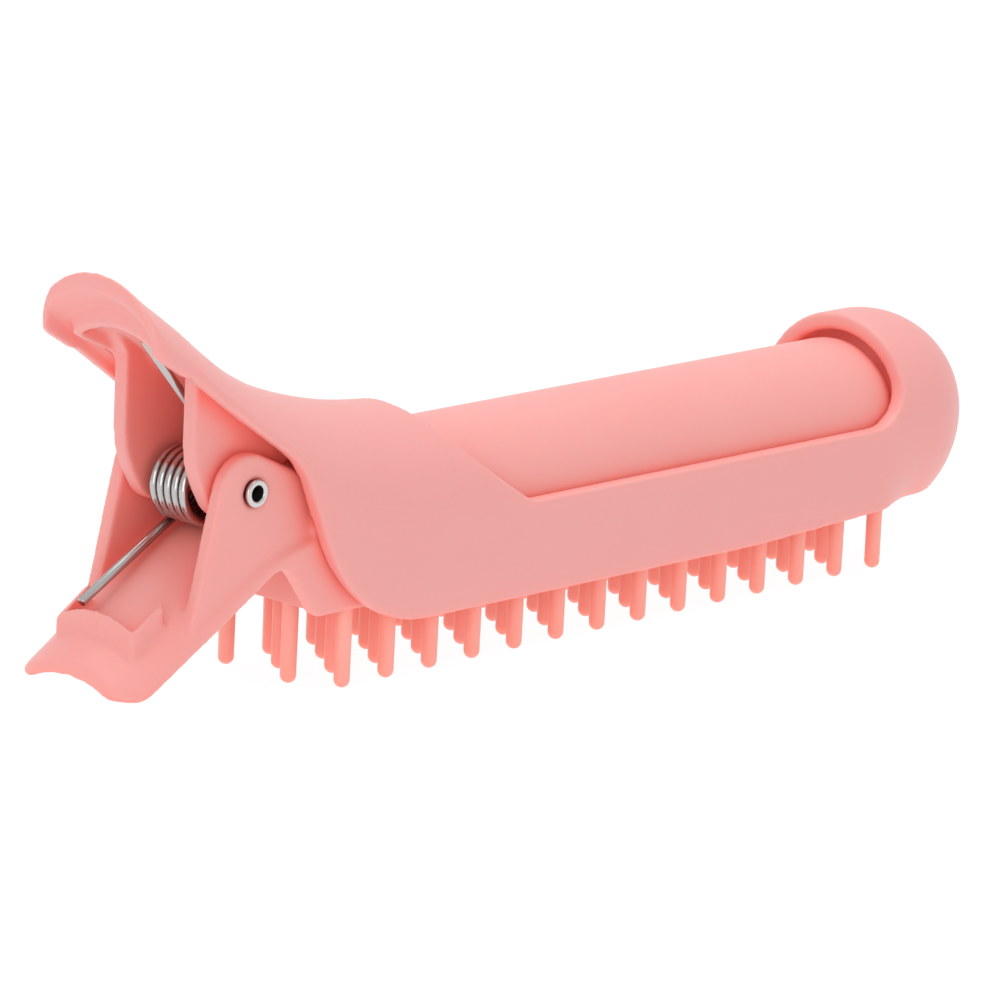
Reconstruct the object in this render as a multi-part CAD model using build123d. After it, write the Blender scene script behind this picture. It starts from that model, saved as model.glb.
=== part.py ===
from build123d import *
from math import acos, atan2, cos, hypot, pi, radians, sin, sqrt, tan
import os

# Hair root volumizing clip: a cover arm closes over a roller arm that carries a comb.
# +X points to the nose, the two finger levers are at -X, +Z is up and -Y is the near side.
# The origin lies under the middle of the clip, in the plane of the tooth tips.

# Whole clip
length = 127.0
hinge_setback = 17.0
hinge_height = 22.2
cut_overrun = 2.0

# Cover arm: half tube, nose, window and rails
cover_radius = 10.85
cover_wall = 1.9
cover_axis_height = 15.9
rim_height = 6.5
rim_lean = 0.5
inside_lean = 0.05
nose_lean = 3.8
nose_inside_lean = 3.0
nose_blend_length = 8.0
nose_inside_blend_length = 6.5
nose_rim_height = 7.5
rim_rise_start_setback = 39.0
rim_rise_end_setback = 15.0
rim_rise_round = 40.0
window_setback = 15.0
window_start_setback = 53.8
window_sill_height = 16.6
window_bend_setback = 46.3
window_bend_height = 21.5
window_bend_round = 40.0
window_rake = 50.0
window_left_corner = 3.0
window_right_corner = 5.5

# Cover arm: saddle, neck and thumb pad
saddle_length = 42.6
pad_setback = 3.2
pad_height = 44.75
pad_half_width = 8.7
pad_arch = 4.8
pad_wall = 1.4
pad_corner = 2.4
saddle_front_setback = 28.9
saddle_corner = 16.0
neck_corner_setback = 21.5
neck_corner_height = 24.75
neck_corner = 8.0
pad_edge_drop = 6.85

# Inner hinge ears, on the cover arm
inner_ear_gap = 8.0
inner_ear_thickness = 1.8
inner_ear_radius = 3.0
inner_ear_reach = 8.0
inner_ear_heel = 7.9
inner_ear_front = 8.0
inner_ear_front_rise = 3.2
ear_side_clearance = 0.3
pad_side_clearance = 0.2

# Spring pockets under the thumb pad and on the finger lever
pocket_rib = 0.8
pocket_leg = 3.4
pad_pocket_setback = 2.3
pad_pocket_half_width = 6.2
pad_pocket_height = 1.9
lever_pocket_setback = 3.4
lever_pocket_half_width = 5.6
lever_pocket_height = 2.2

# Roller arm: half tube
roller_axis_height = 15.5
roller_clearance = 0.3
roller_wall = 1.0
roller_end_setback = 13.0
roller_end_round = 3.0
roller_nose_wall = 1.2
roller_inside_corner = 1.0
roller_start_setback = 25.0
roller_end_wall = 1.8
roller_rim_height = 8.3

# Roller arm: finger lever
lever_end_height = 6.15
lever_root_height = 19.6
lever_half_width = 8.5
lever_wall = 1.4
lever_arch = 3.9
lever_root_arch = 3.2
lever_corner = 4.0
lever_edge_setback = 2.8
lever_edge_height = 3.2
lever_edge_round = 6.0
notch_setback = 20.8
notch_height = 14.4
notch_round = 1.5
notch_foot_setback = 25.4
notch_foot_round = 2.5

# Outer hinge ears, on the roller arm
outer_ear_thickness = 1.75
outer_ear_radius = 3.95
outer_ear_back = 0.6
outer_ear_foot_setback = 9.2
outer_ear_foot_height = 9.9
outer_ear_base_height = 8.5
outer_ear_front_setback = 33.0
outer_ear_front_height = 19.0

# Comb insert
tooth_pitch = 6.2
row_spacing = 4.46
row_count = 4
tooth_root_radius = 0.9
tooth_tip_radius = 0.82
tooth_end_margin = 1.0
comb_plate_height = 14.0
comb_plate_thickness = 1.8
comb_seat_ledge = 0.5
comb_fit_clearance = 0.05
snap_bead_radius = 0.35
snap_bead_length = 3.0
snap_bead_shares = [0.2, 0.5, 0.8]

# Hollow hinge pin
pin_radius = 1.25
pin_bore_radius = 0.8
pin_stand_out = 0.5
pin_edge_round = 0.15
pin_running_clearance = 0.08
pin_seat_clearance = 0.03

# Torsion spring
wire_radius = 0.35
coil_radius = 2.95
coil_pitch = 1.13
coil_turns = 5
coil_drop = 1.05
coil_back = 0.2
coil_far_y = 3.3
lower_leg_setback = 4.8
lower_leg_lift = 2.0
upper_leg_setback = 7.0
upper_leg_drop = 1.6

# Places worked out from the sizes above
tip_x = -length / 2
hinge_x = tip_x + hinge_setback
pad_x = tip_x + pad_setback
nose_x = length / 2 - cover_radius
saddle_x = tip_x + saddle_length
crest_height = cover_axis_height + cover_radius
roller_radius = cover_radius - cover_wall - roller_clearance
roller_start_x = tip_x + roller_start_setback
roller_end_x = length / 2 - roller_end_setback
inner_ear_face = inner_ear_gap / 2 + inner_ear_thickness
outer_ear_face = inner_ear_face + ear_side_clearance
outer_ear_outside = outer_ear_face + outer_ear_thickness
last_tooth_x = roller_end_x - roller_nose_wall - tooth_end_margin
first_tooth_x = roller_start_x + roller_end_wall + tooth_end_margin
tooth_columns = int((last_tooth_x - first_tooth_x - tooth_pitch / 2) / tooth_pitch) + 1

# Stations of the cover's crest from beyond the pad tip to the start of the straight tube:
# share of saddle_length, share of the crest's rise, share of the widening, share of the deepening
saddle_shares = [
    (0.028, 1.122, 0.000, 0.000),
    (0.093, 0.962, 0.000, 0.000),
    (0.158, 0.830, 0.000, 0.000),
    (0.222, 0.703, 0.000, 0.000),
    (0.287, 0.582, 0.002, 0.000),
    (0.352, 0.468, 0.065, 0.016),
    (0.417, 0.368, 0.246, 0.068),
    (0.482, 0.286, 0.509, 0.163),
    (0.546, 0.222, 0.765, 0.294),
    (0.611, 0.168, 0.940, 0.452),
    (0.676, 0.122, 0.999, 0.615),
    (0.741, 0.083, 1.000, 0.765),
    (0.806, 0.050, 1.000, 0.883),
    (0.870, 0.025, 1.000, 0.959),
    (0.935, 0.008, 1.000, 0.994),
    (1.000, 0.000, 1.000, 1.000),
]

# Stations of the finger lever from its end to the roller:
# share of the run, share of the crest's rise, share of the widening
lever_shares = [
    (-0.06, -0.070, 0.00),
    (0.14, 0.160, 0.00),
    (0.38, 0.460, 0.10),
    (0.62, 0.740, 0.50),
    (0.84, 0.910, 1.00),
    (1.07, 1.020, 1.00),
]


def outline(corners):
    """A closed face in the XZ plane from (x, z, corner radius) rows."""
    edges = []
    starts, ends = [], []
    count = len(corners)
    for i, (x, z, radius) in enumerate(corners):
        here = Vector(x, 0, z)
        back = Vector(corners[i - 1][0], 0, corners[i - 1][1]) - here
        ahead = Vector(corners[(i + 1) % count][0], 0, corners[(i + 1) % count][1]) - here
        back, ahead = back.normalized(), ahead.normalized()
        half = radians(back.get_angle(ahead)) / 2
        reach = radius / tan(half)
        starts.append(here + back * reach)
        ends.append(here + ahead * reach)
        if radius > 0:
            middle = (back + ahead).normalized()
            centre = here + middle * (radius / sin(half))
            edges.append(ThreePointArc(starts[i], centre - middle * radius, ends[i]))
    for i in range(count):
        if (starts[(i + 1) % count] - ends[i]).length > 0:
            edges.append(Line(ends[i], starts[(i + 1) % count]))
    return Face(Wire(edges))


def plate(corners, low_y, high_y):
    """A plate with an XZ outline between two Y values."""
    return extrude(Pos(0, low_y, 0) * outline(corners), amount=high_y - low_y, dir=(0, 1, 0))


def side_arc(x, side, half_width, top, foot, lean):
    """The side of an arch: upright at the top, leaning in by lean at its foot."""
    drop = top - foot
    radius = (drop ** 2 + lean ** 2) / (2 * lean)
    half_lean = radius - sqrt(radius ** 2 - (drop / 2) ** 2)
    return ThreePointArc(
        (x, side * half_width, top),
        (x, side * (half_width - half_lean), top - drop / 2),
        (x, side * (half_width - lean), foot),
    )


def arch(x, crest, half_width, rise, foot, lean):
    """A closed arch section at x, flat along its foot."""
    top = crest - rise
    crown = ThreePointArc((x, -half_width, top), (x, 0, crest), (x, half_width, top))
    near = side_arc(x, -1, half_width, top, foot, lean)
    far = side_arc(x, 1, half_width, top, foot, lean)
    floor = Line((x, lean - half_width, foot), (x, half_width - lean, foot))
    return Face(Wire([near, crown, far, floor]))


def crest_slopes(stations):
    """The crest's slope at each station, level at the last."""
    slopes = []
    for i in range(len(stations) - 1):
        before, after = stations[max(i - 1, 0)], stations[i + 1]
        slopes.append((after[1] - before[1]) / (after[0] - before[0]))
    return slopes + [0]


def drawn_in(stations, walls):
    """Arch stations (x, crest, half width, rise) moved in by a wall at each."""
    rows = []
    slopes = crest_slopes(stations)
    for (x, crest, half_width, rise), slope, wall in zip(stations, slopes, walls):
        depth = wall * sqrt(1 + slope ** 2)
        rows.append((x, crest - depth, half_width - wall, rise - depth))
    return rows


def arch_loft(stations, foot, lean):
    """A loft through arches (x, crest, half width, rise)."""
    return loft([arch(*row, foot, lean) for row in stations])


def arch_height(stations, x, y):
    """The height of a loft through arches at a place in plan."""
    for low, high in zip(stations, stations[1:]):
        if low[0] <= x <= high[0]:
            share = (x - low[0]) / (high[0] - low[0])
            crest, half_width, rise = [
                low[i] + (high[i] - low[i]) * share for i in (1, 2, 3)
            ]
    radius = (half_width ** 2 + rise ** 2) / (2 * rise)
    return crest - radius + sqrt(radius ** 2 - y ** 2)


def saddle_walls():
    """The wall at each station of the saddle, thinner at the thumb pad."""
    return [pad_wall + (cover_wall - pad_wall) * wide for run, up, wide, deep in saddle_shares]


def cover_stations():
    rise = pad_height - crest_height
    rows = []
    for run, up, wide, deep in saddle_shares:
        half_width = pad_half_width + (cover_radius - pad_half_width) * wide
        sagitta = pad_arch + (cover_radius - pad_arch) * deep
        rows.append((tip_x + saddle_length * run, crest_height + rise * up, half_width, sagitta))
    return rows


def nose_stations(blend, side_lean, end_lean):
    """Places and leans of arches whose sides tuck in more and more towards the nose."""
    steps = 6
    rows = []
    for i in range(steps + 1):
        share = i / steps
        ease = share ** 2 * (3 - 2 * share)
        rows.append((nose_x - blend * (1 - share), side_lean + (end_lean - side_lean) * ease))
    return rows


def cover_body(stations, wall, foot, blend, side_lean, end_lean):
    """The cover arm's outside, or with a wall and drawn-in stations, the space inside it."""
    radius = cover_radius - wall
    top = cover_axis_height + radius
    saddle = arch_loft(stations, foot, side_lean)
    tube_section = arch(saddle_x, top, radius, radius, foot, side_lean)
    tube = extrude(tube_section, amount=nose_x - blend - saddle_x, dir=(1, 0, 0))
    taper = loft([
        arch(x, top, radius, radius, foot, lean)
        for x, lean in nose_stations(blend, side_lean, end_lean)
    ])
    quarter = ThreePointArc(
        (nose_x, 0, top),
        (nose_x, radius * sin(pi / 4), cover_axis_height + radius * cos(pi / 4)),
        (nose_x, radius, cover_axis_height),
    )
    tuck = side_arc(nose_x, 1, radius, cover_axis_height, foot, end_lean)
    floor = Line((nose_x, radius - end_lean, foot), (nose_x, 0, foot))
    spine = Line((nose_x, 0, foot), (nose_x, 0, top))
    half = Face(Wire([quarter, tuck, floor, spine]))
    nose = revolve(half, axis=Axis((nose_x, 0, 0), (0, 0, 1)), revolution_arc=-180)
    return saddle + tube + taper + nose


def cover_side_view():
    """What is left of the arch in side view: rim, saddle edge and lever edge."""
    far = length
    corner_x = tip_x + neck_corner_setback
    edge_height = pad_height - pad_edge_drop
    slope = (edge_height - neck_corner_height) / (corner_x - pad_x)
    start_x = tip_x - cut_overrun
    return outline([
        (far, nose_rim_height, 0),
        (length / 2 - rim_rise_end_setback, nose_rim_height, rim_rise_round),
        (length / 2 - rim_rise_start_setback, rim_height, rim_rise_round),
        (tip_x + saddle_front_setback, rim_height, saddle_corner),
        (corner_x, neck_corner_height, neck_corner),
        (start_x, edge_height + slope * (pad_x - start_x), 0),
        (start_x, far, 0),
        (far, far, 0),
    ])


def window_cut():
    """The long window, swept up over the saddle and upright at the nose."""
    left = tip_x + window_start_setback
    right = length / 2 - window_setback
    bend_x = tip_x + window_bend_setback
    top = pad_height
    run = (top - window_bend_height) / tan(radians(window_rake))
    return plate([
        (left, window_sill_height, window_left_corner),
        (right, window_sill_height, window_right_corner),
        (right, top, 0),
        (bend_x - run, top, 0),
        (bend_x, window_bend_height, window_bend_round),
    ], -length, length)


def plan(corners, low_z, high_z):
    """A block with an XY outline of (x, y, corner radius) rows."""
    flat = outline(corners)
    turned = Rot(-90, 0, 0) * flat
    return extrude(Pos(0, 0, low_z) * turned, amount=high_z - low_z, dir=(0, 0, 1))


def tongue(end_x, half_width, corner):
    """A block that keeps one end of the clip to a rounded finger shape."""
    wide = cover_radius + cut_overrun
    narrow = half_width + pad_side_clearance
    ease_x = end_x + hinge_setback / 2
    return plan([
        (end_x, -narrow, corner),
        (ease_x, -narrow, 0),
        (ease_x + cut_overrun, -wide, 0),
        (length, -wide, 0),
        (length, wide, 0),
        (ease_x + cut_overrun, wide, 0),
        (ease_x, narrow, 0),
        (end_x, narrow, corner),
    ], -length, length)


def pocket(back, half_width):
    """The U-shaped rib block of a spring pocket, open towards the hinge."""
    front = back + pocket_rib + pocket_leg
    inside = half_width - pocket_rib
    round_end = pocket_rib / 3
    return plan([
        (back, -half_width, round_end),
        (front, -half_width, round_end),
        (front, -inside, round_end),
        (back + pocket_rib, -inside, 0),
        (back + pocket_rib, inside, 0),
        (front, inside, round_end),
        (front, half_width, round_end),
        (back, half_width, round_end),
    ], -length, length)


def rod(radius, low_y, high_y, x, z):
    """A round bar along Y."""
    bar = Cylinder(radius, high_y - low_y, rotation=(90, 0, 0))
    return bar.moved(Pos(x, (low_y + high_y) / 2, z))


def touch(centre, radius, point, side):
    """Where the line from a point touches a circle, on the side that the sign picks."""
    run, rise = point[0] - centre[0], point[1] - centre[1]
    angle = atan2(rise, run) + side * acos(radius / hypot(run, rise))
    return (centre[0] + radius * cos(angle), centre[1] + radius * sin(angle), 0)


def inner_ear(low_y, high_y):
    """A hinge ear that hangs from the neck, with a wide heel and round about the pin."""
    top = pad_height + cut_overrun
    pin = (hinge_x, hinge_height)
    back_x = hinge_x - inner_ear_reach
    front = (hinge_x + inner_ear_front, hinge_height + inner_ear_front_rise)
    web = plate([
        (back_x, top, 0),
        (back_x, hinge_height - inner_ear_radius, inner_ear_heel),
        (pin[0], hinge_height - inner_ear_radius, 0),
        touch(pin, inner_ear_radius, front, -1),
        (front[0], front[1], 0),
        (front[0], top, 0),
    ], low_y, high_y)
    return web + rod(inner_ear_radius, low_y, high_y, hinge_x, hinge_height)


def outer_ear(low_y, high_y):
    """A gusset that stands on the lever and the roller and carries the pin."""
    lobe = (hinge_x - outer_ear_back, hinge_height)
    foot = (tip_x + outer_ear_foot_setback, outer_ear_foot_height)
    front = (tip_x + outer_ear_front_setback, outer_ear_front_height)
    web = plate([
        (foot[0], outer_ear_base_height, 0),
        (foot[0], foot[1], 0),
        touch(lobe, outer_ear_radius, foot, -1),
        (lobe[0], lobe[1], 0),
        touch(lobe, outer_ear_radius, front, 1),
        (front[0], front[1], 0),
        (front[0], outer_ear_base_height, 0),
    ], low_y, high_y)
    return web + rod(outer_ear_radius, low_y, high_y, lobe[0], lobe[1])


def make_cover_arm():
    stations = cover_stations()
    space = drawn_in(stations, saddle_walls())
    outside = cover_body(stations, 0, rim_height, nose_blend_length, rim_lean, nose_lean)
    inside = cover_body(
        space, cover_wall, rim_height - cut_overrun,
        nose_inside_blend_length, inside_lean, nose_inside_lean)
    side_view = extrude(Pos(0, -length, 0) * cover_side_view(), amount=2 * length, dir=(0, 1, 0))
    finger = tongue(pad_x, pad_half_width, pad_corner)
    arm = ((outside - inside) & side_view & finger) - window_cut()
    solid = outside & finger
    arm += inner_ear(-inner_ear_face, -inner_ear_gap / 2) & solid
    arm += inner_ear(inner_ear_gap / 2, inner_ear_face) & solid
    ribs = pocket(pad_x + pad_pocket_setback, pad_pocket_half_width) & outside
    arm += (ribs - inside.moved(Pos(0, 0, -pad_pocket_height))) & side_view
    return arm - rod(pin_radius + pin_running_clearance, -length, length, hinge_x, hinge_height)


def lever_stations():
    run = roller_start_x - tip_x
    rise = lever_root_height - lever_end_height
    rows = []
    for along, up, wide in lever_shares:
        half_width = lever_half_width + (roller_radius - lever_half_width) * wide
        sagitta = lever_arch + (lever_root_arch - lever_arch) * wide
        rows.append((tip_x + run * along, lever_end_height + rise * up, half_width, sagitta))
    return rows


def roller_tube():
    """The half tube's outside, closed, with a rounded far end."""
    foot = roller_rim_height - cut_overrun
    top = roller_axis_height + roller_radius
    section = arch(roller_start_x, top, roller_radius, roller_radius, foot, rim_lean)
    tube = extrude(section, amount=roller_end_x - roller_start_x, dir=(1, 0, 0))
    end_edges = tube.faces().sort_by(Axis.X)[-1].edges().sort_by(Axis.Z)[1:]
    return fillet(end_edges, roller_end_round)


def roller_plan(gap, low, high):
    """A block that fills the half tube's hollow in plan, drawn in by a gap."""
    start = roller_start_x + roller_end_wall + gap
    end = roller_end_x - roller_nose_wall - gap
    wide = roller_radius - roller_wall - gap
    return plan([
        (start, -wide, 0),
        (end, -wide, roller_inside_corner),
        (end, wide, roller_inside_corner),
        (start, wide, 0),
    ], low, high)


def roller_space():
    """The hollow of the half tube, with the ledges that the comb plate seats on."""
    low = roller_rim_height - 2 * cut_overrun
    seat = comb_plate_height + comb_plate_thickness
    narrow = roller_radius - roller_wall - comb_seat_ledge
    section = arch(-length, roller_axis_height + narrow, narrow, narrow, low, inside_lean)
    vault = extrude(section, amount=2 * length, dir=(1, 0, 0))
    return roller_plan(0, low, seat) + (roller_plan(0, low, length) & vault)


def roller_side_view():
    """What is left of the roller arm in side view: lever edge, notch and tube rim."""
    return outline([
        (tip_x - cut_overrun, lever_edge_height, 0),
        (tip_x + lever_edge_setback, lever_edge_height, lever_edge_round),
        (tip_x + notch_setback, notch_height, notch_round),
        (tip_x + notch_foot_setback, roller_rim_height, notch_foot_round),
        (length, roller_rim_height, 0),
        (length, length, 0),
        (tip_x - cut_overrun, length, 0),
    ])


def tooth_x(row, column):
    """Where a tooth stands along the clip, odd rows half a pitch back."""
    steps = tooth_columns - 1 - column + (row % 2) / 2
    return last_tooth_x - tooth_pitch * steps


def snap_beads():
    """Short beads under the comb plate's edges, each midway between two teeth."""
    beads = []
    half_width = roller_radius - roller_wall
    z = comb_plate_height - snap_bead_radius
    for side, row in ((-1, 0), (1, row_count - 1)):
        for share in snap_bead_shares:
            x = tooth_x(row, int(share * (tooth_columns - 1))) + tooth_pitch / 2
            bead = Cylinder(snap_bead_radius, snap_bead_length, rotation=(0, 90, 0))
            beads.append(bead.moved(Pos(x, side * half_width, z)))
    return beads


def make_roller_arm():
    stations = lever_stations()
    foot = lever_edge_height - cut_overrun
    lever_outside = arch_loft(stations, foot, rim_lean)
    space = drawn_in(stations, [lever_wall] * len(stations))
    lever_space = arch_loft(space, foot - cut_overrun, rim_lean)
    side_view = extrude(Pos(0, -length, 0) * roller_side_view(), amount=2 * length, dir=(0, 1, 0))
    finger = tongue(tip_x, lever_half_width, lever_corner)
    lever_only = Box(length, length, length, align=(Align.MAX, Align.CENTER, Align.MIN))
    lever = lever_outside & lever_only.moved(Pos(roller_start_x + roller_end_wall, 0, 0))
    body = lever + roller_tube()
    body += outer_ear(-outer_ear_outside, -outer_ear_face)
    body += outer_ear(outer_ear_face, outer_ear_outside)
    arm = (body - lever_space - roller_space()) & side_view & finger
    ribs = pocket(tip_x + lever_pocket_setback, lever_pocket_half_width)
    ribs &= lever_outside.moved(Pos(0, 0, lever_pocket_height))
    arm += ribs - lever_space
    for bead in snap_beads():
        arm += bead
    return arm - rod(pin_radius + pin_seat_clearance, -length, length, hinge_x, hinge_height)


def tooth():
    """One comb tooth: a tapered round pin with a domed tip at the origin."""
    reach = comb_plate_height + comb_plate_thickness / 2
    slant = tooth_tip_radius * sin(pi / 4)
    edges = [
        Line((0, 0, reach), (0, 0, 0)),
        ThreePointArc(
            (0, 0, 0),
            (slant, 0, tooth_tip_radius - slant),
            (tooth_tip_radius, 0, tooth_tip_radius)),
        Line((tooth_tip_radius, 0, tooth_tip_radius), (tooth_root_radius, 0, reach)),
        Line((tooth_root_radius, 0, reach), (0, 0, reach)),
    ]
    return revolve(Face(Wire(edges)), axis=Axis.Z)


def make_comb_insert():
    insert = roller_plan(
        comb_fit_clearance, comb_plate_height, comb_plate_height + comb_plate_thickness)
    teeth = []
    single = tooth()
    for row in range(row_count):
        y = row_spacing * (row - (row_count - 1) / 2)
        for column in range(tooth_columns):
            teeth.append(single.moved(Pos(tooth_x(row, column), y, 0)))
    return insert.fuse(*teeth)


def make_hinge_pin():
    reach = outer_ear_outside + pin_stand_out
    pin = rod(pin_radius, -reach, reach, hinge_x, hinge_height)
    pin -= rod(pin_bore_radius, -length, length, hinge_x, hinge_height)
    rims = pin.edges().filter_by(GeomType.CIRCLE)
    return fillet(rims, pin_edge_round)


def make_torsion_spring():
    """One wire: the lower leg, the coil round the pin and the upper leg."""
    centre_x, centre_z = hinge_x - coil_back, hinge_height - coil_drop
    climb = coil_pitch / (2 * pi * coil_radius)
    near_y = coil_far_y - coil_pitch * coil_turns
    lower_x, upper_x = tip_x + lower_leg_setback, tip_x + upper_leg_setback
    lower_z = arch_height(lever_stations(), lower_x, coil_far_y) + lower_leg_lift
    upper_z = arch_height(drawn_in(cover_stations(), saddle_walls()), upper_x, near_y)
    first, lower_leg = coil_tangent(lower_x - centre_x, lower_z - centre_z, 1)
    last, upper_leg = coil_tangent(upper_x - centre_x, upper_z - upper_leg_drop - centre_z, -1)
    sweep_angle = 2 * pi * coil_turns + last - first

    def place(angle):
        y = coil_far_y - coil_pitch * (angle - first) / (2 * pi)
        return Vector(centre_x + coil_radius * cos(angle), y, centre_z + coil_radius * sin(angle))

    def heading(angle):
        return Vector(-sin(angle), -climb, cos(angle)).normalized()

    start, finish = place(first), place(first + sweep_angle)
    lower_end = start - heading(first) * lower_leg
    upper_end = finish + heading(first + sweep_angle) * upper_leg
    edges = [Line(lower_end, start)]
    steps = round(sweep_angle / (pi / 2))
    for i in range(steps):
        a, b = first + sweep_angle * i / steps, first + sweep_angle * (i + 1) / steps
        edges += biarc(place(a), heading(a), place(b), heading(b))
    edges.append(Line(finish, upper_end))
    path = Wire(edges)
    least = least_gap(path)
    print("torsion spring: least gap between its turns", round(least, 3), "mm")
    profile = Plane(origin=lower_end, z_dir=heading(first)) * Circle(wire_radius)
    return sweep(profile, path=path)


def coil_tangent(run, rise, side):
    """The angle where a leg leaves the coil for a point, and the leg's length."""
    reach = hypot(run, rise)
    angle = atan2(rise, run) + side * acos(coil_radius / reach)
    return angle, sqrt(reach ** 2 - coil_radius ** 2)


def biarc(p1, t1, p2, t2):
    """Two arcs that meet tangent to each other, from one point and heading to the next."""
    span = p2 - p1
    both = t1 + t2
    spread = 2 * (1 - t1.dot(t2))
    along = span.dot(both)
    reach = (sqrt(along ** 2 + spread * span.dot(span)) - along) / spread
    corner1, corner2 = p1 + t1 * reach, p2 - t2 * reach
    middle = (corner1 + corner2) * 0.5
    return [
        TangentArc(p1, middle, tangent=t1),
        TangentArc(middle, p2, tangent=corner2 - corner1),
    ]


def least_gap(path):
    """The least clear gap between stretches of the wire that are half a turn or more apart."""
    steps = 40 * coil_turns
    total = path.length
    points = [path.position_at((i + 0.5) / steps) for i in range(steps)]
    apart = pi * coil_radius
    least = total
    for i, here in enumerate(points):
        for j in range(i + 1, steps):
            if (j - i) * total / steps > apart:
                least = min(least, (points[j] - here).length)
    return least - 2 * wire_radius


def main():
    os.makedirs("parts", exist_ok=True)
    pieces = {
        "cover_arm": make_cover_arm(),
        "roller_arm": make_roller_arm(),
        "comb_insert": make_comb_insert(),
        "hinge_pin": make_hinge_pin(),
        "torsion_spring": make_torsion_spring(),
    }
    for name, piece in pieces.items():
        export_step(piece, "parts/" + name + ".step")


main()
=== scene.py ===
import bmesh
import bpy
from math import acos, atan2, cos, hypot, pi, radians, sin, sqrt
from mathutils import Matrix, Vector


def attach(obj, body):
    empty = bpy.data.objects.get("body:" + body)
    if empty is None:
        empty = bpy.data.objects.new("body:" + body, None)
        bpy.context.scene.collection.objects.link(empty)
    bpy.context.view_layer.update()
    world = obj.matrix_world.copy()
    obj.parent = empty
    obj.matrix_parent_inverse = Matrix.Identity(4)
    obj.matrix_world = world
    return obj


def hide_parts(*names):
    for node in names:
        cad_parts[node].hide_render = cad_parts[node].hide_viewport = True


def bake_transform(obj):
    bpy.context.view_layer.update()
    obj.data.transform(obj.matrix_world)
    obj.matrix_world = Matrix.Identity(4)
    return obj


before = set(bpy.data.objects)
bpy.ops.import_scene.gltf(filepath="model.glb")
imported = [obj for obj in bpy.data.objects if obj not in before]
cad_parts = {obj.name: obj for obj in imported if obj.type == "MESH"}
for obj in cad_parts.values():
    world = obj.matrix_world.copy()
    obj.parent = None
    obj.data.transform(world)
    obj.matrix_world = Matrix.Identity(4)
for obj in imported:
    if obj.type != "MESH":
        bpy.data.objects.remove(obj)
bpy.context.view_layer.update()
scene = bpy.context.scene


# Camera
# A long lens at the photograph's viewing angle, level with the thumb pad and well to the
# left of the clip, rolled a little.
camera_data = bpy.data.cameras.new("camera")
camera_data.lens = 254.5
camera_data.sensor_width = 36.0
camera_data.clip_start = 0.05
camera_data.clip_end = 20.0
camera = bpy.data.objects.new("camera", camera_data)
scene.collection.objects.link(camera)
turn = Matrix.Rotation(radians(-46.69), 4, "Z")
tilt = Matrix.Rotation(radians(90 - 13.66), 4, "X")
roll = Matrix.Rotation(radians(2.59), 4, "Z")
camera.matrix_world = Matrix.Translation((-0.51189, -0.478629, 0.183872)) @ turn @ tilt @ roll
scene.camera = camera


# Studio light
# A white tent all round, with one large soft box overhead and a smaller one at the left,
# in front of the two finger levers.
world = bpy.data.worlds.new("studio")
world.use_nodes = True
world.node_tree.nodes["Background"].inputs["Color"].default_value = (1.0, 1.0, 1.0, 1.0)
world.node_tree.nodes["Background"].inputs["Strength"].default_value = 0.76
scene.world = world
scene.view_settings.view_transform = "Standard"


def soft_box(name, place, aim, size, power):
    light = bpy.data.lights.new(name, "AREA")
    light.shape = "SQUARE"
    light.size = size
    light.energy = power
    lamp = bpy.data.objects.new(name, light)
    lamp.location = place
    lamp.rotation_euler = (Vector(aim) - Vector(place)).to_track_quat("-Z", "Y").to_euler()
    scene.collection.objects.link(lamp)


soft_box("overhead_soft_box", (0.05, 0.1, 0.7), (0, 0, 0.02), 0.6, 2.5)
soft_box("left_soft_box", (-0.55, -0.3, 0.12), (-0.03, 0, 0.02), 0.4, 0.7)


# Floor
# A plain white sheet under the teeth, lit through from below like a light table, so the
# clip throws hardly any shadow.
floor_paint = bpy.data.materials.new("floor_paint")
floor_paint.use_nodes = True
floor_shader = floor_paint.node_tree.nodes["Principled BSDF"]
floor_shader.inputs["Base Color"].default_value = (0.12, 0.12, 0.12, 1.0)
floor_shader.inputs["Roughness"].default_value = 0.9
floor_shader.inputs["Specular IOR Level"].default_value = 0.0
floor_shader.inputs["Emission Color"].default_value = (1.0, 1.0, 1.0, 1.0)
floor_shader.inputs["Emission Strength"].default_value = 0.95
floor_shape = bmesh.new()
bmesh.ops.create_grid(floor_shape, x_segments=1, y_segments=1, size=3.0)
bmesh.ops.translate(floor_shape, verts=floor_shape.verts, vec=(0, 0, -0.0002))
floor_mesh = bpy.data.meshes.new("floor")
floor_shape.to_mesh(floor_mesh)
floor_shape.free()
floor_mesh.materials.append(floor_paint)
floor = bpy.data.objects.new("floor", floor_mesh)
scene.collection.objects.link(floor)


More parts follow.
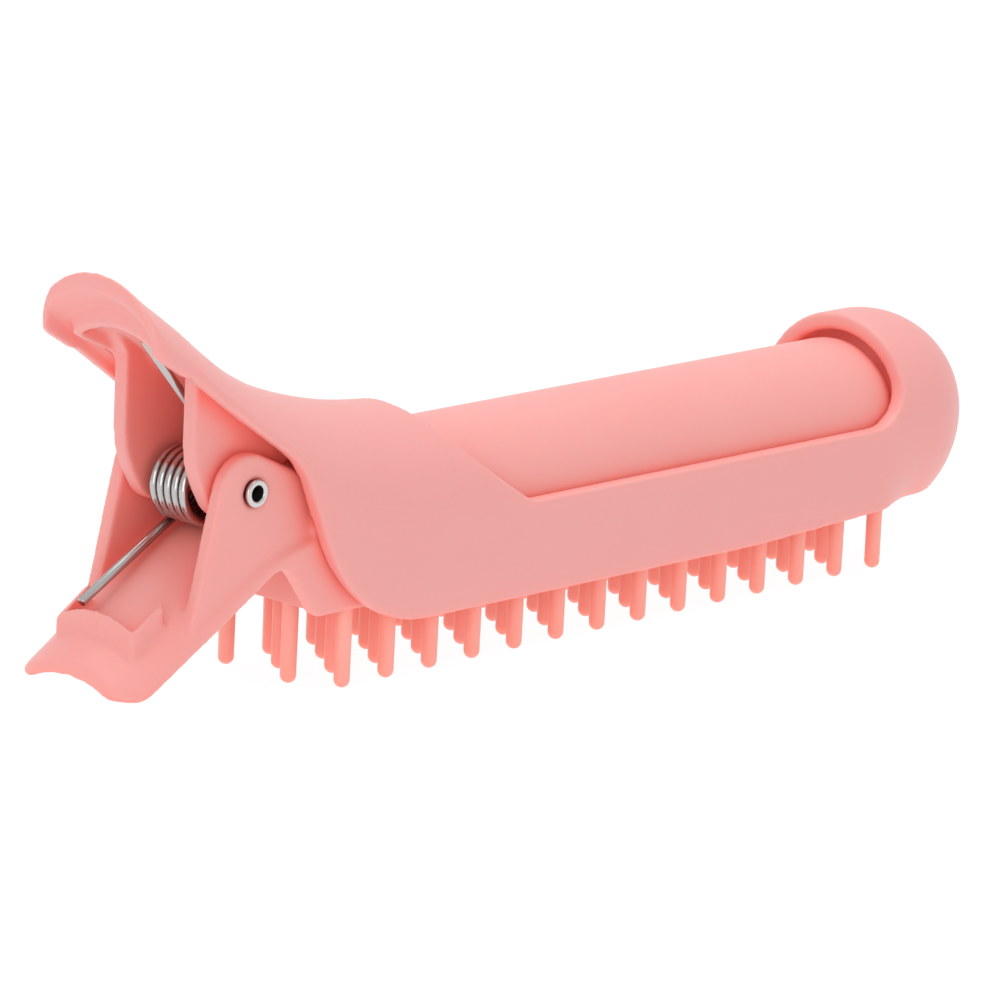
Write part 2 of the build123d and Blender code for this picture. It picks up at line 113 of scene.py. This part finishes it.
# Roller arm
# The lower moulding in salmon-pink plastic: finger lever, two hinge ears and half-round
# roller. It comes out of its tool satin, with every edge a little rounded, and a deeper red
# is painted into its hollows as painted shade and bounced light.
def moulded_surface_group():
    """Colour and grain of the satin plastic, with painted shade: a deeper red painted into the
    hollows, the plain colour on open faces and thin rims.
    """
    group = bpy.data.node_groups.new("moulded_surface", "ShaderNodeTree")
    face = group.interface
    face.new_socket("Colour", in_out="INPUT", socket_type="NodeSocketColor")
    face.new_socket("Painted Shade Colour", in_out="INPUT", socket_type="NodeSocketColor")
    face.new_socket("Painted Shade Reach", in_out="INPUT", socket_type="NodeSocketFloat")
    face.new_socket("Colour", in_out="OUTPUT", socket_type="NodeSocketColor")
    face.new_socket("Grain", in_out="OUTPUT", socket_type="NodeSocketFloat")
    nodes, links = group.nodes, group.links
    given = nodes.new("NodeGroupInput")
    result = nodes.new("NodeGroupOutput")
    place = nodes.new("ShaderNodeTexCoord")
    # Painted shade: the colour is mixed toward the painted shade colour where the ambient
    # occlusion finds the surface enclosed.
    open_sky = nodes.new("ShaderNodeAmbientOcclusion")
    open_sky.samples = 12
    links.new(given.outputs["Painted Shade Reach"], open_sky.inputs["Distance"])
    painted_shade_mask = nodes.new("ShaderNodeMapRange")
    painted_shade_mask.interpolation_type = "SMOOTHSTEP"
    painted_shade_mask.inputs["From Min"].default_value = 0.25
    painted_shade_mask.inputs["From Max"].default_value = 0.95
    links.new(open_sky.outputs["AO"], painted_shade_mask.inputs["Value"])
    painted_shade_mix = nodes.new("ShaderNodeMix")
    painted_shade_mix.data_type = "RGBA"
    links.new(painted_shade_mask.outputs["Result"], painted_shade_mix.inputs["Factor"])
    links.new(given.outputs["Painted Shade Colour"], painted_shade_mix.inputs["A"])
    links.new(given.outputs["Colour"], painted_shade_mix.inputs["B"])
    flow = nodes.new("ShaderNodeTexNoise")
    flow.inputs["Scale"].default_value = 55.0
    flow.inputs["Detail"].default_value = 3.0
    links.new(place.outputs["Object"], flow.inputs["Vector"])
    swirl = nodes.new("ShaderNodeMapRange")
    swirl.inputs["To Min"].default_value = 0.965
    swirl.inputs["To Max"].default_value = 1.035
    links.new(flow.outputs["Fac"], swirl.inputs["Value"])
    shade = nodes.new("ShaderNodeHueSaturation")
    links.new(painted_shade_mix.outputs["Result"], shade.inputs["Color"])
    links.new(swirl.outputs["Result"], shade.inputs["Saturation"])
    links.new(shade.outputs["Color"], result.inputs["Colour"])
    grain = nodes.new("ShaderNodeTexNoise")
    grain.inputs["Scale"].default_value = 3500.0
    grain.inputs["Detail"].default_value = 2.0
    links.new(place.outputs["Object"], grain.inputs["Vector"])
    links.new(grain.outputs["Fac"], result.inputs["Grain"])
    return group


moulded_surface = moulded_surface_group()


def satin_plastic(name, colour, painted_shade_colour):
    paint = bpy.data.materials.new(name)
    paint.use_nodes = True
    nodes, links = paint.node_tree.nodes, paint.node_tree.links
    shader = nodes["Principled BSDF"]
    surface = nodes.new("ShaderNodeGroup")
    surface.node_tree = moulded_surface
    # The second colour is painted shade and bounced light, mixed in where the surface is enclosed.
    surface.inputs["Colour"].default_value = (*colour, 1.0)
    surface.inputs["Painted Shade Colour"].default_value = (*painted_shade_colour, 1.0)
    surface.inputs["Painted Shade Reach"].default_value = 0.012
    links.new(surface.outputs["Colour"], shader.inputs["Base Color"])
    bump = nodes.new("ShaderNodeBump")
    bump.inputs["Strength"].default_value = 0.06
    bump.inputs["Distance"].default_value = 0.00002
    links.new(surface.outputs["Grain"], bump.inputs["Height"])
    links.new(bump.outputs["Normal"], shader.inputs["Normal"])
    shader.inputs["Roughness"].default_value = 0.38
    shader.inputs["Specular IOR Level"].default_value = 0.4
    shader.inputs["Subsurface Weight"].default_value = 0.3
    shader.inputs["Subsurface Radius"].default_value = (1.0, 0.3, 0.2)
    shader.inputs["Subsurface Scale"].default_value = 0.0016
    return paint


def settle(piece):
    """The piece's modifiers worked into its mesh."""
    bpy.context.view_layer.update()
    seen = piece.evaluated_get(bpy.context.evaluated_depsgraph_get())
    mesh = bpy.data.meshes.new_from_object(seen)
    piece.modifiers.clear()
    piece.data = mesh
    mesh.name = piece.name


def smooth_over(shape, verts, passes):
    for i in range(passes):
        bmesh.ops.smooth_vert(
            shape, verts=verts, factor=0.5, use_axis_x=True, use_axis_y=True, use_axis_z=True)


def moulding(name, node, cell, passes):
    """A finely divided copy of a moulded piece with all its edges rounded over."""
    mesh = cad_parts[node].data.copy()
    shape = bmesh.new()
    shape.from_mesh(mesh)
    bmesh.ops.remove_doubles(shape, verts=shape.verts, dist=1e-6)
    shape.to_mesh(mesh)
    shape.free()
    piece = bpy.data.objects.new(name, mesh)
    scene.collection.objects.link(piece)
    skin = piece.modifiers.new("skin", "REMESH")
    skin.mode = "VOXEL"
    skin.voxel_size = cell
    settle(piece)
    shape = bmesh.new()
    shape.from_mesh(piece.data)
    smooth_over(shape, shape.verts, passes)
    for face in shape.faces:
        face.smooth = True
    shape.to_mesh(piece.data)
    shape.free()
    piece.data.materials.clear()
    return piece


def soften(piece, chosen, reach, passes):
    """More rounding at the places up to reach that the function chosen picks out."""
    shape = bmesh.new()
    shape.from_mesh(piece.data)
    shape.normal_update()
    smooth_over(shape, [vert for vert in shape.verts if chosen(vert, reach)], passes)
    shape.to_mesh(piece.data)
    shape.free()


def thin_out(piece, share):
    """The same surface with a share of its faces, the flat places losing most."""
    thinner = piece.modifiers.new("thinner", "DECIMATE")
    thinner.ratio = share
    settle(piece)


skin_cell, edge_passes, faces_kept = 0.00024, 8, 0.35
# Roller colour, then a deeper red painted into its hollows as painted shade and bounced light.
pink_plastic = satin_plastic("roller_plastic", (0.86, 0.36, 0.335), (1.0, 0.29, 0.245))
roller = moulding("roller_moulding", "roller_arm", skin_cell, edge_passes)
lever_top, pocket_back, pocket_side, under_slope = 0.0175, -0.0605, 0.0062, -0.2


def on_lever_rim(vert, reach):
    """The lever's tip, its two sides and its under side, clear of the spring pocket."""
    x, y, z = vert.co
    outside = abs(y) > pocket_side or x < pocket_back or vert.normal.z < under_slope
    return x < reach and z < lever_top and outside


for reach in (-0.0515, -0.053, -0.0545, -0.056, -0.0575):
    soften(roller, on_lever_rim, reach, 4)
thin_out(roller, faces_kept)
roller.data.materials.append(pink_plastic)
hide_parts("roller_arm")
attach(roller, "roller_body")


# Comb insert
# A plate with fifty-six round teeth, moulded in the same plastic and snapped up into the
# roller's hollow past six small beads. Its colour is painted paler and warmer as painted light
# glowing through the thin teeth.
# Paler, warmer colour as painted light; the second colour is painted shade and bounced light for
# the hollows.
comb_plastic = satin_plastic("comb_plastic", (0.96, 0.46, 0.39), (1.0, 0.33, 0.26))
comb_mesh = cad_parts["comb_insert"].data
comb_mesh.materials.clear()
comb_mesh.materials.append(comb_plastic)


# Hinge pin
# A bright nickel-plated steel tube, pressed through the outer ears, with its two ends
# rolled to a round lip.
def plated_surface_group():
    """Colour and roughness of the bright plating: faint scratches in the roughness, and painted
    shade darkening the colour in the grooves.
    """
    group = bpy.data.node_groups.new("plated_surface", "ShaderNodeTree")
    face = group.interface
    face.new_socket("Colour", in_out="INPUT", socket_type="NodeSocketColor")
    face.new_socket("Painted Shade Colour", in_out="INPUT", socket_type="NodeSocketColor")
    face.new_socket("Roughness", in_out="INPUT", socket_type="NodeSocketFloat")
    face.new_socket("Colour", in_out="OUTPUT", socket_type="NodeSocketColor")
    face.new_socket("Roughness", in_out="OUTPUT", socket_type="NodeSocketFloat")
    nodes, links = group.nodes, group.links
    given = nodes.new("NodeGroupInput")
    result = nodes.new("NodeGroupOutput")
    place = nodes.new("ShaderNodeTexCoord")
    scratches = nodes.new("ShaderNodeTexNoise")
    scratches.inputs["Scale"].default_value = 1800.0
    scratches.inputs["Detail"].default_value = 3.0
    links.new(place.outputs["Object"], scratches.inputs["Vector"])
    wear = nodes.new("ShaderNodeMapRange")
    wear.inputs["To Min"].default_value = 0.7
    wear.inputs["To Max"].default_value = 1.4
    links.new(scratches.outputs["Fac"], wear.inputs["Value"])
    rough = nodes.new("ShaderNodeMath")
    rough.operation = "MULTIPLY"
    links.new(given.outputs["Roughness"], rough.inputs[0])
    links.new(wear.outputs["Result"], rough.inputs[1])
    links.new(rough.outputs["Value"], result.inputs["Roughness"])
    # Painted shade: the colour is darkened toward the painted shade colour in grooves and bores.
    open_sky = nodes.new("ShaderNodeAmbientOcclusion")
    open_sky.samples = 12
    open_sky.inputs["Distance"].default_value = 0.0016
    painted_shade_mask = nodes.new("ShaderNodeMapRange")
    painted_shade_mask.inputs["From Min"].default_value = 0.35
    painted_shade_mask.inputs["From Max"].default_value = 0.9
    links.new(open_sky.outputs["AO"], painted_shade_mask.inputs["Value"])
    painted_shade_tint = nodes.new("ShaderNodeMix")
    painted_shade_tint.data_type = "RGBA"
    links.new(painted_shade_mask.outputs["Result"], painted_shade_tint.inputs["Factor"])
    links.new(given.outputs["Painted Shade Colour"], painted_shade_tint.inputs["A"])
    links.new(given.outputs["Colour"], painted_shade_tint.inputs["B"])
    links.new(painted_shade_tint.outputs["Result"], result.inputs["Colour"])
    return group


plated_surface = plated_surface_group()


def plated_steel(name, colour, painted_shade_colour, roughness):
    paint = bpy.data.materials.new(name)
    paint.use_nodes = True
    nodes, links = paint.node_tree.nodes, paint.node_tree.links
    shader = nodes["Principled BSDF"]
    surface = nodes.new("ShaderNodeGroup")
    surface.node_tree = plated_surface
    surface.inputs["Colour"].default_value = (*colour, 1.0)
    surface.inputs["Painted Shade Colour"].default_value = (*painted_shade_colour, 1.0)
    surface.inputs["Roughness"].default_value = roughness
    links.new(surface.outputs["Colour"], shader.inputs["Base Color"])
    links.new(surface.outputs["Roughness"], shader.inputs["Roughness"])
    shader.inputs["Metallic"].default_value = 1.0
    return paint


def as_piece(name, shape, paint):
    """A smooth-shaded object from a finished bmesh."""
    for face in shape.faces:
        face.smooth = True
    mesh = bpy.data.meshes.new(name)
    shape.to_mesh(mesh)
    shape.free()
    mesh.materials.append(paint)
    piece = bpy.data.objects.new(name, mesh)
    scene.collection.objects.link(piece)
    return piece


hinge_x, hinge_z = -0.0465, 0.0222
pin_radius, pin_bore, pin_reach, pin_lip = 0.00125, 0.0008, 0.00835, 0.0002
collar_radius, collar_reach = 0.00142, 0.0079
# Plain nickel colour, then a painted shade colour for the bore.
pin_steel = plated_steel("pin_nickel", (0.62, 0.61, 0.60), (0.6, 0.58, 0.57), 0.2)
pin_shape = bmesh.new()
half = [
    (pin_reach, pin_bore), (pin_reach, collar_radius), (collar_reach, collar_radius),
    (collar_reach, pin_radius),
]
whole = [(-y, r) for y, r in half] + [(y, r) for y, r in reversed(half)]
corners = [pin_shape.verts.new((hinge_x, y, hinge_z + r)) for y, r in whole]
outline = [pin_shape.edges.new((corners[i - 1], corners[i])) for i in range(len(whole))]
lips = [corners[i] for i in (0, 1, -2, -1)]
bmesh.ops.bevel(
    pin_shape, geom=lips, affect="VERTICES", offset=pin_lip, segments=5, profile=0.5,
    material=-1)
bmesh.ops.spin(
    pin_shape, geom=pin_shape.verts[:] + pin_shape.edges[:], cent=(hinge_x, 0, hinge_z),
    axis=(0, 1, 0), angle=2 * pi, steps=48, use_merge=True)
bmesh.ops.remove_doubles(pin_shape, verts=pin_shape.verts, dist=1e-6)
bmesh.ops.recalc_face_normals(pin_shape, faces=pin_shape.faces)
pin = as_piece("hinge_pin_tube", pin_shape, pin_steel)
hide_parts("hinge_pin")
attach(pin, "roller_body")


# Torsion spring
# One bright wire about the pin: five close turns, with a straight leg down to the lever's
# pocket and one up to the pocket under the thumb pad.
wire_radius, coil_radius, coil_pitch = 0.00048, 0.0033, 0.00104
coil_x, coil_z = -0.0468, 0.0214
lower_y, coil_turns, turn_steps = 0.0033, 5, 40
lower_end = (-0.0587, 0.01078)
upper_end = (-0.0565, 0.03766)


def coil_leg(end, side):
    """The angle where a leg leaves the coil for its end, and the leg's length."""
    run, rise = end[0] - coil_x, end[1] - coil_z
    reach = hypot(run, rise)
    return atan2(rise, run) + side * acos(coil_radius / reach), sqrt(reach ** 2 - coil_radius ** 2)


first, lower_leg = coil_leg(lower_end, 1)
last, upper_leg = coil_leg(upper_end, -1)
coil_angle = 2 * pi * coil_turns + last - first
coil_steps = round(coil_angle / (2 * pi) * turn_steps)
coil_run = coil_pitch * coil_angle / (2 * pi)
spring_shape = bmesh.new()
ring = bmesh.ops.create_circle(spring_shape, segments=16, radius=wire_radius)["verts"]
heading = Vector((-sin(first), 0, cos(first)))
start = Vector((coil_x + coil_radius * cos(first), lower_y, coil_z + coil_radius * sin(first)))
bmesh.ops.transform(
    spring_shape, verts=ring,
    matrix=Matrix.Translation(start) @ heading.to_track_quat("Z", "Y").to_matrix().to_4x4())
loop = ring + list({edge for vert in ring for edge in vert.link_edges})
spun = bmesh.ops.spin(
    spring_shape, geom=loop, cent=(coil_x, 0, coil_z), axis=(0, -1, 0),
    dvec=(0, -coil_run / coil_steps, 0), angle=coil_angle, steps=coil_steps)["geom_last"]


def draw_leg(loop, way, length):
    """The coil's end drawn out into a straight leg with a slightly rounded cut end."""
    for reach, size in ((length, 1.0), (wire_radius * 0.15, 0.93), (wire_radius * 0.06, 0.8)):
        edges = [item for item in loop if isinstance(item, bmesh.types.BMEdge)]
        loop = bmesh.ops.extrude_edge_only(spring_shape, edges=edges)["geom"]
        verts = [item for item in loop if isinstance(item, bmesh.types.BMVert)]
        bmesh.ops.translate(spring_shape, verts=verts, vec=way * reach)
        centre = sum((vert.co for vert in verts), Vector()) / len(verts)
        bmesh.ops.scale(
            spring_shape, verts=verts, vec=(size, size, size),
            space=Matrix.Translation(-centre))
    edges = [item for item in loop if isinstance(item, bmesh.types.BMEdge)]
    bmesh.ops.edgeloop_fill(spring_shape, edges=edges)


draw_leg(spun, Vector((-sin(last), 0, cos(last))), upper_leg)
draw_leg(loop, -heading, lower_leg)
bmesh.ops.recalc_face_normals(spring_shape, faces=spring_shape.faces)
# The wire's colour is painted darker than the pin's, painted shade for the dark streaks it
# reflects; the second colour is painted shade between the turns.
spring_steel = plated_steel("spring_nickel", (0.52, 0.51, 0.50), (0.12, 0.11, 0.11), 0.15)
spring = as_piece("spring_wire", spring_shape, spring_steel)
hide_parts("torsion_spring")
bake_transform(spring)


# Cover arm
# The upper moulding: thumb pad, neck, saddle and windowed cover, hung on the pin by its two
# inner ears. Same satin plastic, painted a touch greyer than the roller as painted shade on the
# wide sides.
# Cover colour with painted shade; the second colour is painted shade and bounced light for the
# hollows.
cover_plastic = satin_plastic("cover_plastic", (0.83, 0.36, 0.34), (1.0, 0.28, 0.235))
cover = moulding("cover_moulding", "cover_arm", skin_cell, edge_passes)
saddle_start, saddle_end, saddle_foot, tube_axis, crown_slope = -0.043, -0.016, 0.017, 0.0159, 0.9
pad_foot = 0.036
pad_base, pad_neck, pad_run, pad_growth = 0.0351, -0.0535, 0.006, 0.0009
ear_front, ear_band, ear_top, ear_fade, ear_trim = -0.0488, 0.005, 0.0375, 0.003, 0.0015
ear_inner, ear_outer, skin_slope = 0.0035, 0.0064, 0.1


def on_crown(vert, reach):
    """The outer skin of the saddle."""
    x, y, z = vert.co
    outward = Vector((0, y, z - tube_axis)).normalized()
    return saddle_start < x < reach and z > saddle_foot and vert.normal.dot(outward) > crown_slope


def on_pad_skin(vert, reach):
    """The thumb pad's upper skin and its rim."""
    return vert.co.x < reach and vert.co.z > pad_foot and vert.normal.z > under_slope


def eased(share):
    """A share held between nought and one, with no kink at either end."""
    share = min(max(share, 0), 1)
    return share * share * (3 - 2 * share)


def draw_pad_trim_ears(mesh):
    """The pad drawn out a little, and the ears' front edges set back under the skin."""
    skins = [vert.normal.z > skin_slope for vert in mesh.vertices]
    for vert, skin in zip(mesh.vertices, skins):
        if vert.co.z > pad_base:
            vert.co.x -= pad_growth * eased((pad_neck - vert.co.x) / pad_run)
        if not skin and ear_inner < abs(vert.co.y) < ear_outer:
            ahead = eased((ear_front - vert.co.x) / ear_band)
            below = eased((ear_top - vert.co.z) / ear_fade)
            vert.co.x += ear_trim * ahead * below


soften(cover, on_crown, saddle_end, 100)
for reach in (-0.053, -0.0545, -0.056, -0.0575):
    soften(cover, on_pad_skin, reach, 4)
draw_pad_trim_ears(cover.data)
thin_out(cover, faces_kept)
cover.data.materials.append(cover_plastic)
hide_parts("cover_arm")
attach(cover, "cover_body")
